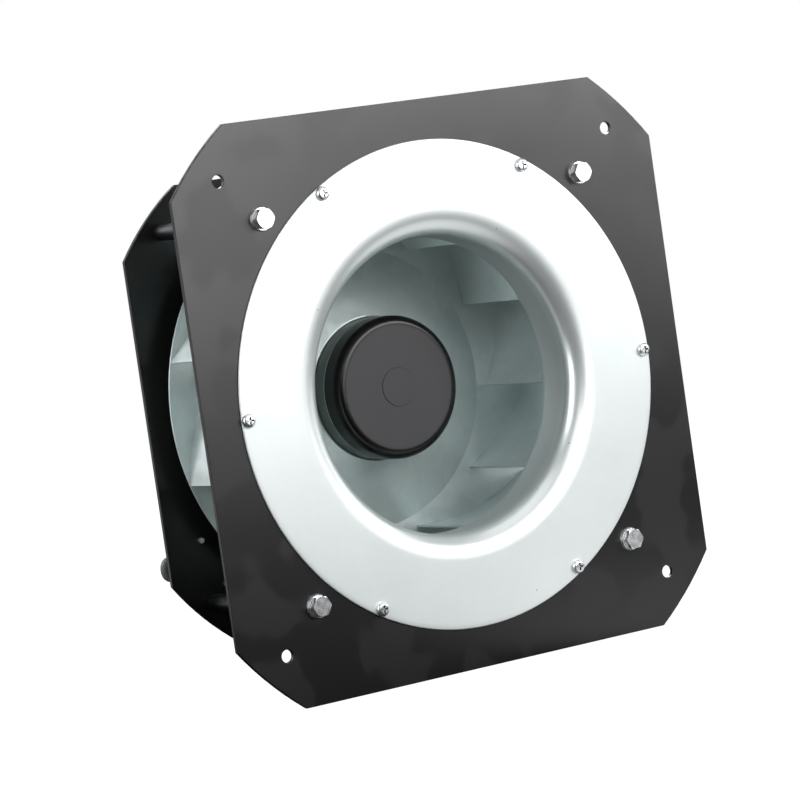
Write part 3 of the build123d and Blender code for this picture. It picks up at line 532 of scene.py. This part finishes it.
def braid(colours):
    """Monofilament of the lead's sleeve: pale on the strands, with painted shade that darkens the gaps
    between them, both from the woven relief.
    """
    finish = Finish("braid")
    height = finish.node("ShaderNodeAttribute", {"attribute_name": "weave"}, {}, "Fac")
    tone = finish.noise(9 * MM, 2.0)
    strand = finish.mix(tone, tinted(colours.sleeve, 0.85), tinted(colours.sleeve, 1.25))
    return finish.surface(
        # The low parts of the weave take a near black: painted shade in the gaps between the strands
        Base_Color=finish.mix(finish.ramp(height, 0.25, 0.75), shade(22, 22, 23), strand),
        Roughness=0.42 + 0.1 * tone,
    )


# Meshes from arrays


def grid_faces(rows, columns, close_rows, close_columns):
    """Corner numbers of the quads of a grid whose points are numbered row by row."""
    row = np.arange(rows if close_rows else rows - 1)[:, None]
    column = np.arange(columns if close_columns else columns - 1)[None, :]
    next_row, next_column = (row + 1) % rows, (column + 1) % columns
    corners = [row * columns + column, row * columns + next_column,
               next_row * columns + next_column, next_row * columns + column]
    return np.stack([np.broadcast_to(c, (row.size, column.size)) for c in corners], -1).reshape(-1, 4)


def mesh_piece(name, points, faces, body, slot, replaced, **attributes):
    """Puts arrays into a smooth closed mesh that rides on a body and stands for CAD nodes.

    Points that meet, as at a pole, are merged, and the faces are then turned outwards.
    """
    mesh = bpy.data.meshes.new(name)
    mesh.from_pydata(points.reshape(-1, 3), [], faces)
    for key, values in attributes.items():
        mesh.attributes.new(key, "FLOAT", "POINT").data.foreach_set("value", values.ravel())
    shell = bmesh.new()
    shell.from_mesh(mesh)
    bmesh.ops.remove_doubles(shell, verts=shell.verts, dist=1e-7)
    bmesh.ops.recalc_face_normals(shell, faces=shell.faces)
    shell.to_mesh(mesh)
    shell.free()
    mesh.polygons.foreach_set("use_smooth", np.ones(len(mesh.polygons), bool))
    mesh.materials.append(finish_for(slot))
    mesh.update()
    piece = bpy.data.objects.new(name, mesh)
    bpy.context.scene.collection.objects.link(piece)
    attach(piece, body)
    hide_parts(*replaced)


def spin(profile, segments):
    """Carries a closed profile of (radius, depth) points round the fan's axis.

    At the turn t a point stands at x = radius sin t, y = depth and z = radius cos t.
    """
    turn = np.linspace(0, 2 * np.pi, segments, endpoint=False)[:, None]
    radius = profile[:, 0]
    depth = np.broadcast_to(profile[:, 1], (segments, radius.size))
    points = np.stack([radius * np.sin(turn), depth, radius * np.cos(turn)], -1)
    return points, grid_faces(segments, radius.size, True, True)


def arc(centre, radii, start, end, count):
    """Points of an ellipse's arc: centre + (a cos t, b sin t), with t from start to end in degrees."""
    angle = np.radians(np.linspace(start, end, count))
    return np.stack([centre[0] + radii[0] * np.cos(angle), centre[1] + radii[1] * np.sin(angle)], -1)


def ring_profile(sizes):
    """Section of the inlet ring: flat flange, quarter ellipse in, straight throat, round lip, and back.

    The front skin runs along the ellipse of bell_width by bell_depth plus one sheet, and the rear skin along
    the one that is a sheet thickness narrower. Half circles close the rim and the lip.
    """
    bell_count, throat_count, flange_count, edge_count = 33, 10, 16, 9
    sheet, half = sizes.ring_sheet, sizes.ring_sheet / 2
    start = sizes.throat_radius + sizes.bell_width
    centre = (start, sizes.bell_depth)
    rim, lip = sizes.ring_diameter / 2 - half, sizes.throat_depth - half
    front = arc(centre, (sizes.bell_width, sizes.bell_depth + sheet), -90, -180, bell_count)
    rear = arc(centre, (sizes.bell_width - sheet, sizes.bell_depth), -180, -90, bell_count)
    throat = np.linspace(sizes.bell_depth, lip, throat_count)[1:-1, None]
    inner = np.hstack([np.full_like(throat, sizes.throat_radius), throat])
    outer = np.hstack([np.full_like(throat, sizes.throat_radius + sheet), throat[::-1]])
    flat = np.linspace(rim, start, flange_count)[1:-1, None]
    return np.vstack([
        arc((rim, -half), (half, half), 90, -90, edge_count),
        np.hstack([flat, np.full_like(flat, -sheet)]),
        front,
        inner,
        arc((sizes.throat_radius + half, lip), (half, half), 180, 0, edge_count),
        outer,
        rear,
        np.hstack([flat[::-1], np.zeros_like(flat)]),
    ])


def loop_of(half_width, half_height, steps, power=5.0):
    """A rounded rectangle as a superellipse: x = a sgn(cos t) |cos t|^(2/n), y likewise with sin and b."""
    turn = np.linspace(0, 2 * np.pi, steps, endpoint=False)
    wide, high = np.cos(turn), np.sin(turn)
    return np.stack([half_width * np.sign(wide) * np.abs(wide) ** (2 / power),
                     half_height * np.sign(high) * np.abs(high) ** (2 / power)], -1)


# Where a coil stands on the stator: its ends' distances from the fan's axis, its middle's depth, and half
# the width and height of the loops round its inside and its outside
COIL_LOW, COIL_HIGH = 28.1 * MM, 38.7 * MM
COIL_MIDDLE = 102.0 * MM
COIL_INSIDE = (3.35 * MM, 14.6 * MM)
COIL_OUTSIDE = (5.35 * MM, 18.4 * MM)
LOOP_STEPS = 44
WIRE_STEPS = 6
WIRES_ACROSS = 2


def coil_points(wire, angle):
    """One coil on its tooth, as a loop round the tooth times a closed section.

    The section runs up the inside, out over the rim end, down the outside and back. Its outside and its
    ends are rows of half round wires: at the way s along a row, the surface falls by
    wire/2 (1 - |sin(pi s / wire)|).
    """
    inner = loop_of(*COIL_INSIDE, LOOP_STEPS)
    outer = loop_of(*COIL_OUTSIDE, LOOP_STEPS)
    turns = round((COIL_HIGH - COIL_LOW) / wire)
    along = np.linspace(COIL_LOW, COIL_HIGH, turns * WIRE_STEPS + 1)
    across = np.linspace(0, 1, WIRES_ACROSS * WIRE_STEPS + 1)
    groove = 0.5 * wire
    dip = groove * (1 - np.abs(np.sin(np.pi * (along - COIL_LOW) * turns / (COIL_HIGH - COIL_LOW))))
    end_dip = groove * (1 - np.abs(np.sin(WIRES_ACROSS * np.pi * across)))
    inside, end = np.zeros(WIRE_STEPS), np.zeros(across.size - 1)
    reach = np.concatenate([inside, across[1:], np.ones(along.size - 2), across[::-1][:-1]])
    sink = np.concatenate([inside, end, dip[::-1][1:-1], end])
    height = np.concatenate([np.linspace(COIL_LOW, COIL_HIGH, WIRE_STEPS + 2)[1:-1], COIL_HIGH - end_dip[1:],
                             along[::-1][1:-1], COIL_LOW + end_dip[::-1][:-1]])
    flat = inner[:, None] + reach[None, :, None] * (outer - inner)[:, None]
    length = np.linalg.norm(outer - inner, axis=-1)[:, None, None]
    flat = flat - sink[None, :, None] * (outer - inner)[:, None] / length
    aside, depth = flat[..., 0], COIL_MIDDLE + flat[..., 1]
    out = np.broadcast_to(height, aside.shape)
    cosine, sine = np.cos(angle), np.sin(angle)
    return np.stack([out * cosine - aside * sine, depth, out * sine + aside * cosine], -1)


def spline_points(route, depth):
    """Points of the smooth line that a NURBS curve draws through the route's control points, as an array."""
    curve = bpy.data.curves.new("lead_route", "CURVE")
    curve.dimensions = "3D"
    curve.resolution_u = 48
    spline = curve.splines.new("NURBS")
    spline.points.add(len(route) - 1)
    spline.points.foreach_set("co", np.array([(x, depth, z, 1.0) for x, z in route]).ravel())
    spline.order_u = 3
    spline.use_endpoint_u = True
    holder = bpy.data.objects.new("lead_route", curve)
    line = bpy.data.meshes.new_from_object(holder)
    points = np.empty(len(line.vertices) * 3)
    line.vertices.foreach_get("co", points)
    bpy.data.objects.remove(holder)
    bpy.data.curves.remove(curve)
    bpy.data.meshes.remove(line)
    return points.reshape(-1, 3)


def braided_tube(line, radius, depth, pitch, strands=9, around=72, step=0.36 * MM):
    """A sleeve along a flat line, whose two sets of strands cross over and under.

    At the turn t and the way s, the sets are 0.5 + 0.5 cos(n t + k s) and 0.5 + 0.5 cos(n t - k s), with
    k = 2 pi n / pitch. Each is lifted where cos(n t) favours it, and the higher one is the relief.
    """
    ways = np.concatenate([[0], np.cumsum(np.linalg.norm(np.diff(line, axis=0), axis=1))])
    way = np.linspace(0, ways[-1], int(ways[-1] / step))
    centre = np.stack([np.interp(way, ways, line[:, axis]) for axis in range(3)], -1)
    ahead = np.gradient(centre, axis=0)
    ahead /= np.linalg.norm(ahead, axis=1, keepdims=True)
    rearward = np.array([0.0, 1.0, 0.0])
    aside = np.cross(ahead, rearward)
    turn = np.linspace(0, 2 * np.pi, around, endpoint=False)[None, :]
    phase = 2 * np.pi * strands * way[:, None] / pitch
    favour = 0.2 * np.cos(strands * turn)
    first = (0.5 + 0.5 * np.cos(strands * turn + phase)) * (0.8 + favour)
    second = (0.5 + 0.5 * np.cos(strands * turn - phase)) * (0.8 - favour)
    relief = np.maximum(first, second)
    reach = radius - depth * (1 - relief)
    reach[[0, -1]] = 0.0
    points = centre[:, None] + reach[..., None] * (
        np.cos(turn)[..., None] * aside[:, None] + np.sin(turn)[..., None] * rearward
    )
    return points, relief


# Which finish each material slot takes

FINISH_OF_SLOT = {
    "plate_black": powder_coat,
    "ring_galvanised": galvanised_ring,
    "impeller_sheet": galvanised_impeller,
    "zinc_plated": bright_zinc,
    "column_steel": turned_steel,
    "cap_black": moulded_cap,
    "rotor_steel": rotor_metal,
    "cast_aluminium": die_cast,
    "board_green": circuit_board,
    "winding_copper": enamelled_copper,
    "lamination_steel": stacked_steel,
    "bearing_steel": ground_steel,
    "lead_sleeve": braid,
}

# Mottled ones: colour, metallic, roughness, patch, grain and relief in millimetres, and spread of tone
MOTTLED_SLOT = {
    "insulator_white": ("insulator", 0.0, 0.42, 8.0, 0.6, 0.02, 0.05),
    "magnet_grey": ("magnet", 0.35, 0.5, 5.0, 0.5, 0.05, 0.14),
    "cage_brass": ("brass", 1.0, 0.2, 4.0, 0.4, 0.01, 0.14),
    "pin_brass": ("brass", 1.0, 0.22, 4.0, 0.4, 0.01, 0.14),
    "gasket_rubber": ("rubber", 0.0, 0.7, 7.0, 0.5, 0.05, 0.14),
    "gland_black": ("nylon", 0.0, 0.4, 9.0, 0.5, 0.03, 0.14),
    "clip_steel": ("clip", 0.95, 0.2, 6.0, 0.4, 0.01, 0.14),
    "connector_white": ("connector", 0.0, 0.38, 8.0, 0.6, 0.02, 0.05),
    "component_black": ("component", 0.0, 0.5, 6.0, 0.4, 0.03, 0.14),
}


def finish_for(slot):
    """The material of a slot, made once."""
    made = bpy.data.materials.get("fan_" + slot)
    if made is None:
        colours = bpy.context.scene.fan_colours
        if slot in MOTTLED_SLOT:
            colour, *settings = MOTTLED_SLOT[slot]
            made = mottled(getattr(colours, colour), *settings)
        else:
            made = FINISH_OF_SLOT[slot](colours)
        made.name = "fan_" + slot
    return made


def dress(*names):
    """Gives CAD nodes the finish of their own material slot."""
    slots = {part["node"]: part["material_slot"] for part in frame["record"]["subparts"]}
    for name in names:
        for socket in frame["nodes"][name].material_slots:
            socket.material = finish_for(slots[name])


def nodes_with(*starts):
    """Names of the CAD nodes that start with any of these words."""
    return [name for name in sorted(frame["nodes"]) if name.startswith(starts)]


# Operators


class FAN_OT_plates(bpy.types.Operator):
    """Powder coats the two plates and gives the columns their turned steel."""

    bl_idname = "fan.plates"
    bl_label = "Plates and columns"

    def execute(self, context):
        dress("front_plate", "rear_plate", *nodes_with("spacer_column"))
        return {"FINISHED"}


class FAN_OT_inlet(bpy.types.Operator):
    """Spins the inlet ring from its section, with an even surface for its reflections."""

    bl_idname = "fan.inlet"
    bl_label = "Inlet ring"

    segments = 360

    def execute(self, context):
        points, faces = spin(ring_profile(context.scene.fan_details), self.segments)
        mesh_piece("spun_inlet_ring", points, faces, "frame", "ring_galvanised", ["inlet_ring"])
        return {"FINISHED"}


class FAN_OT_impeller(bpy.types.Operator):
    """Finishes the impeller's back plate, shroud, blades and rivets."""

    bl_idname = "fan.impeller"
    bl_label = "Impeller"

    def execute(self, context):
        dress(*nodes_with("impeller_"))
        return {"FINISHED"}


class FAN_OT_rotor(bpy.types.Operator):
    """Finishes the rotor's cap, cup, magnets and shaft."""

    bl_idname = "fan.rotor"
    bl_label = "Rotor"

    def execute(self, context):
        dress("motor_shaft", "shaft_circlip", *nodes_with("rotor_"))
        return {"FINISHED"}


class FAN_OT_bearings(bpy.types.Operator):
    """Finishes the two ball bearings and their preload washer."""

    bl_idname = "fan.bearings"
    bl_label = "Bearings"

    def execute(self, context):
        dress("preload_washer", *nodes_with("front_bearing", "rear_bearing"))
        return {"FINISHED"}


class FAN_OT_stator(bpy.types.Operator):
    """Finishes the stator's core and insulators, and winds the coils turn by turn."""

    bl_idname = "fan.stator"
    bl_label = "Stator"

    coil_count = 12

    def execute(self, context):
        dress("stator_core", "stator_insulators")
        wire = context.scene.fan_details.wire_diameter
        angles = 2 * np.pi * np.arange(self.coil_count) / self.coil_count
        coils = np.stack([coil_points(wire, angle) for angle in angles])
        rows, columns = coils.shape[1:3]
        faces = grid_faces(rows, columns, True, True)
        faces = np.concatenate([faces + rows * columns * number for number in range(self.coil_count)])
        mesh_piece("wound_coils", coils, faces, "frame", "winding_copper", ["stator_windings"])
        return {"FINISHED"}


class FAN_OT_housing(bpy.types.Operator):
    """Finishes the motor's castings, its circuit board and what is sealed in with it."""

    bl_idname = "fan.housing"
    bl_label = "Motor housing"

    def execute(self, context):
        dress("motor_flange", "electronics_cover", "cover_gasket", "circuit_board", "board_components")
        return {"FINISHED"}


class FAN_OT_fasteners(bpy.types.Operator):
    """Plates the bolts, nuts and screws."""

    bl_idname = "fan.fasteners"
    bl_label = "Fasteners"

    def execute(self, context):
        dress(*[name for name in nodes_with("") if name.endswith(("_bolts", "_screws", "_nuts"))])
        return {"FINISHED"}


class FAN_OT_lead(bpy.types.Operator):
    """Braids the lead's sleeve along its route, and finishes the gland, the clips and the connector."""

    bl_idname = "fan.lead"
    bl_label = "Lead"

    depth = 152 * MM
    route = np.array([
        (-31.8, -31.8), (-58.0, -58.0), (-84.0, -87.0), (-112.0, -98.3), (-151.5, -98.3), (-164.3, -98.3),
        (-164.3, -111.1), (-151.5, -111.1), (-104.0, -111.1), (-66.0, -122.0), (-26.0, -122.0),
    ]) * MM

    def execute(self, context):
        dress("cable_gland", "gland_cap", "gland_locknut", "lead_clips", "lead_connector", "connector_pins")
        sizes = context.scene.fan_details
        line = spline_points(self.route, self.depth)
        points, relief = braided_tube(line, sizes.lead_diameter / 2, sizes.braid_depth, sizes.braid_pitch)
        faces = grid_faces(*relief.shape, False, True)
        mesh_piece("braided_lead", points, faces, "frame", "lead_sleeve", ["motor_lead"], weave=relief)
        return {"FINISHED"}


def area_lamp(name, place, size, power, target):
    """A soft rectangular lamp that faces a point and isn't seen by the camera."""
    lamp = bpy.data.lights.new(name, "AREA")
    lamp.shape = "RECTANGLE"
    lamp.size, lamp.size_y = size
    lamp.energy = power
    holder = bpy.data.objects.new(name, lamp)
    holder.location = place
    holder.rotation_euler = (Vector(target) - Vector(place)).to_track_quat("-Z", "Y").to_euler()
    holder.visible_camera = False
    bpy.context.scene.collection.objects.link(holder)


class FAN_OT_stage(bpy.types.Operator):
    """Sets the pale floor, the white surroundings, the soft lamps and the camera."""

    bl_idname = "fan.stage"
    bl_label = "Studio"

    floor_half_size = 8.0
    floor_lit = 0.09
    floor_seen = 0.97
    floor_in_gloss = 0.95
    # Centre and fade of the painted pool of light that reflections see on the floor before the plate
    painted_pool_centre = (0.28, -0.13)
    painted_pool_reach = (0.28, 0.15)
    rear_from, rear_by = 0.25, 0.6
    world_in_gloss = 0.3
    world_ambient = 0.32

    # Name, place, size, watts and the point it faces
    lamps = (
        ("front_panel", (0.54, -1.0, 0.42), (1.1, 0.34), 9.5, (0.0, 0.0, 0.0)),
        ("right_panel", (1.0, -0.9, 0.16), (0.3, 0.4), 1.6, (0.0, 0.0, 0.0)),
        ("low_panel", (0.25, -1.0, 0.08), (0.5, 0.24), 1.6, (0.0, 0.0, 0.0)),
        ("near_left", (-0.3, -1.1, 0.42), (0.5, 0.4), 1.2, (0.0, 0.0, 0.0)),
        ("left_box", (-1.45, -0.38, 0.4), (0.7, 1.3), 9.5, (0.0, 0.0, 0.0)),
        ("right_box", (1.7, -0.3, 0.3), (0.8, 1.2), 4.0, (0.0, 0.0, 0.0)),
        ("overhead", (0.1, -0.5, 1.5), (1.6, 1.4), 5.0, (0.0, 0.0, 0.0)),
        ("left_behind", (-1.2, 0.9, 0.9), (0.8, 1.0), 22.0, (0.0, 0.07, 0.0)),
        ("behind", (0.9, 1.6, 1.2), (1.4, 1.2), 44.0, (0.0, 0.1, 0.0)),
    )

    def add_floor(self):
        """A flat square under the part's lowest point: nearly white to the camera, with the part's shadow.

        Reflections see it black, but for a painted pool of light before the plate and a glow on the floor
        behind the part, which only reflections see.
        """
        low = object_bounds()[0].z
        half = self.floor_half_size
        steps = np.array((-half, half))
        across, along = np.meshgrid(steps, steps)
        points = np.stack([across, along, np.full_like(across, low)], -1)
        finish = Finish("studio_floor")
        camera_ray = finish.node("ShaderNodeLightPath", {}, {}, "Is Camera Ray")
        glossy_ray = finish.node("ShaderNodeLightPath", {}, {}, "Is Glossy Ray")
        clear_ray = finish.node("ShaderNodeLightPath", {}, {}, "Is Transmission Ray")
        # A painted pool of light before the plate and a glow on the floor behind the part, emitted for
        # reflections only
        bright = {0: finish.place, 1: (*self.painted_pool_centre, low)}
        away = finish.node("ShaderNodeVectorMath", {"operation": "DISTANCE"}, bright, "Value")
        near = finish.ramp(away, *self.painted_pool_reach, 0.01, 1.0)
        rear = finish.ramp(finish.axis("Y"), self.rear_from, self.rear_by, 0.0, 0.75)
        mirrored = self.floor_in_gloss * near.larger(rear) * glossy_ray
        own_light = self.floor_seen * (camera_ray + clear_ray) + mirrored
        finish.surface(
            Base_Color=finish.mix(glossy_ray, (self.floor_lit,) * 3, (0.0, 0.0, 0.0)),
            Roughness=1.0,
            Specular_IOR_Level=0.0,
            Emission_Color=finish.mix(own_light, (0.0, 0.0, 0.0), (1.0, 1.0, 1.0)),
            Emission_Strength=1.0,
        )
        mesh = bpy.data.meshes.new("floor")
        mesh.from_pydata(points.reshape(-1, 3), [], grid_faces(2, 2, False, False))
        mesh.materials.append(finish.material)
        floor = bpy.data.objects.new("floor", mesh)
        bpy.context.scene.collection.objects.link(floor)
        floor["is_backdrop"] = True

    def set_world(self):
        """White to the camera and through glass, and grey as the fill light and in reflections.

        In reflections it is paler towards the top and the rear.
        """
        world = bpy.data.worlds.new("studio")
        world.use_nodes = True
        bpy.context.scene.world = world
        nodes = Nodes(world.node_tree, "Generated")
        upward = nodes.ramp(nodes.axis("Z"), 0.05, 0.6, 0.3, 1.0)
        rearward = nodes.ramp(nodes.axis("Y"), 0.2, 0.6, 0.0, 1.2)
        camera_ray = nodes.node("ShaderNodeLightPath", {}, {}, "Is Camera Ray")
        clear_ray = nodes.node("ShaderNodeLightPath", {}, {}, "Is Transmission Ray")
        seen = camera_ray.larger(clear_ray)
        glossy = nodes.node("ShaderNodeLightPath", {}, {}, "Is Glossy Ray") * (1 - seen)
        mirrored = self.world_in_gloss * (upward + rearward) * glossy
        strength = seen + mirrored + self.world_ambient * (1 - seen) * (1 - glossy)
        background = world.node_tree.nodes["Background"]
        background.inputs["Color"].default_value = opaque((1.0, 1.0, 1.0))
        world.node_tree.links.new(strength.socket, background.inputs["Strength"])

    def add_camera(self, studio):
        """Camera on a sphere round its aim, then rolled about its own axis."""
        tilt = Matrix.Rotation(math.pi / 2 - studio.elevation, 3, "X")
        turn = Matrix.Rotation(studio.azimuth, 3, "Z") @ tilt
        camera = bpy.data.objects.new("camera", bpy.data.cameras.new("camera"))
        camera.data.lens = studio.lens
        camera.location = Vector(studio.aim) + turn @ Vector((0, 0, studio.distance))
        camera.rotation_euler = (turn @ Matrix.Rotation(studio.roll, 3, "Z")).to_euler()
        bpy.context.scene.collection.objects.link(camera)
        bpy.context.scene.camera = camera

    def execute(self, context):
        self.add_floor()
        self.set_world()
        for lamp in self.lamps:
            area_lamp(*lamp)
        self.add_camera(context.scene.fan_studio)
        context.scene.view_settings.view_transform = "Standard"
        return {"FINISHED"}


STEPS = (
    FAN_OT_plates,
    FAN_OT_inlet,
    FAN_OT_impeller,
    FAN_OT_rotor,
    FAN_OT_bearings,
    FAN_OT_stator,
    FAN_OT_housing,
    FAN_OT_fasteners,
    FAN_OT_lead,
    FAN_OT_stage,
)


class FAN_PT_panel(bpy.types.Panel):
    """Lists the fan's operators and what they can be given."""

    bl_label = "Centrifugal Fan"
    bl_space_type = "VIEW_3D"
    bl_region_type = "UI"
    bl_category = "Fan"

    def draw(self, context):
        for step in STEPS:
            self.layout.operator(step.bl_idname)
        for group in (context.scene.fan_colours, context.scene.fan_details, context.scene.fan_studio):
            for name in group.__annotations__:
                self.layout.prop(group, name)


GROUPS = {"fan_colours": FanColours, "fan_details": FanDetails, "fan_studio": FanStudio}


def register():
    """Registers the classes and puts the property groups on the scene."""
    for made in (*GROUPS.values(), *STEPS, FAN_PT_panel):
        bpy.utils.register_class(made)
    for name, group in GROUPS.items():
        setattr(bpy.types.Scene, name, bpy.props.PointerProperty(type=group))


def unregister():
    """Takes the property groups and the classes away again."""
    for name in GROUPS:
        delattr(bpy.types.Scene, name)
    for made in (FAN_PT_panel, *reversed(STEPS), *reversed(GROUPS.values())):
        bpy.utils.unregister_class(made)


def main():
    """Makes the looks step by step."""
    register()
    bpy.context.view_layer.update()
    for step in STEPS:
        group, name = step.bl_idname.split(".")
        getattr(getattr(bpy.ops, group), name)()


if __name__ == "__main__":
    main()
